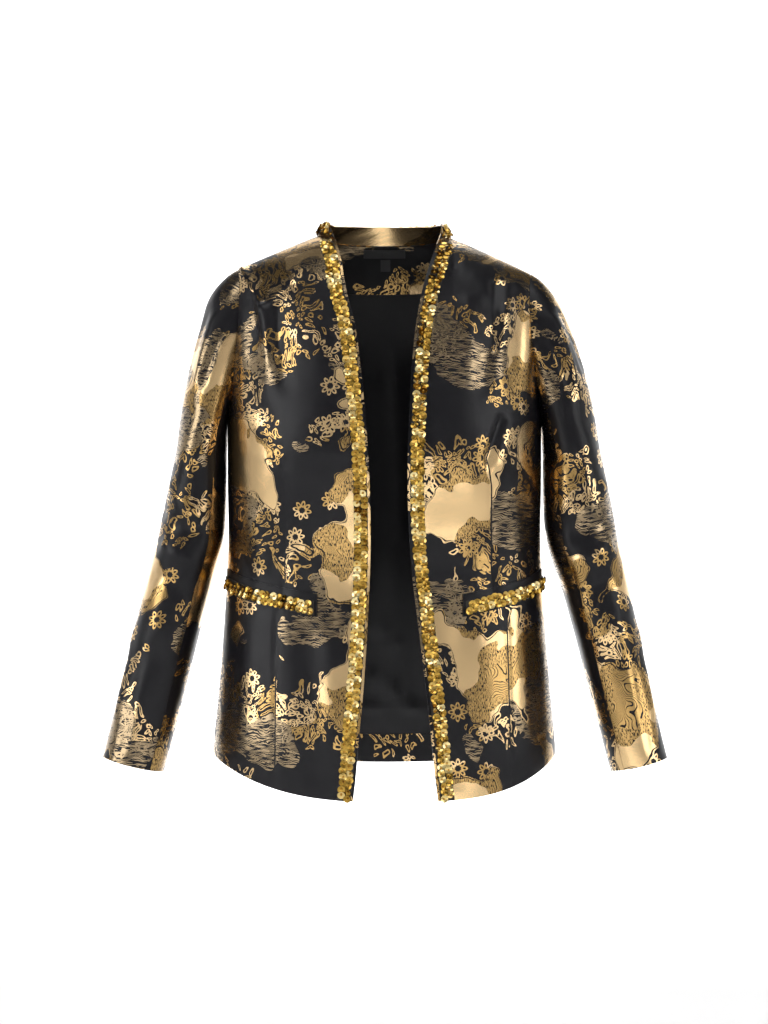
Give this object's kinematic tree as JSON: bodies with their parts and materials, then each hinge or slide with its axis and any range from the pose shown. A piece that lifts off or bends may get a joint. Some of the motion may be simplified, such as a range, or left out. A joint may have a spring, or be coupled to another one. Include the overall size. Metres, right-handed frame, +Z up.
{
  "type": "jacquard jacket",
  "caption": "Open-front women's jacket in black and gold brocade with a low stand collar, long set-in sleeves, slanted welt pockets and sequin edge trim, filled out as worn.",
  "frame": {"origin": "mid-neck point at the level of the shoulder seams' neck ends, where the wearer's shoulders hold the jacket", "axes": "+Z up, +X towards the wearer's left, -Y out of the front"},
  "size_m": [0.6428, 0.2526, 0.6516],
  "materials": {
    "brocade": "black satin ground with flat gold lame figures",
    "satin_lining": "smooth black satin",
    "sequin_trim": "metallised gold cup sequins and beads on black tape",
    "label_ribbon": "matte black woven ribbon"
  },
  "bodies": {
    "root": {"front_right": "brocade", "front_left": "brocade", "back": "brocade", "collar": "brocade", "top_sleeve_right": "brocade", "top_sleeve_left": "brocade", "under_sleeve_right": "brocade", "under_sleeve_left": "brocade", "welt_right": "brocade", "welt_left": "brocade", "neck_facing": "brocade", "hem_facing": "brocade", "trim_front_right": "sequin_trim", "trim_front_left": "sequin_trim", "trim_collar": "sequin_trim", "trim_pocket_right": "sequin_trim", "trim_pocket_left": "sequin_trim", "back_lining": "satin_lining", "label": "label_ribbon", "size_tab": "label_ribbon"}
  },
  "joints": []
}
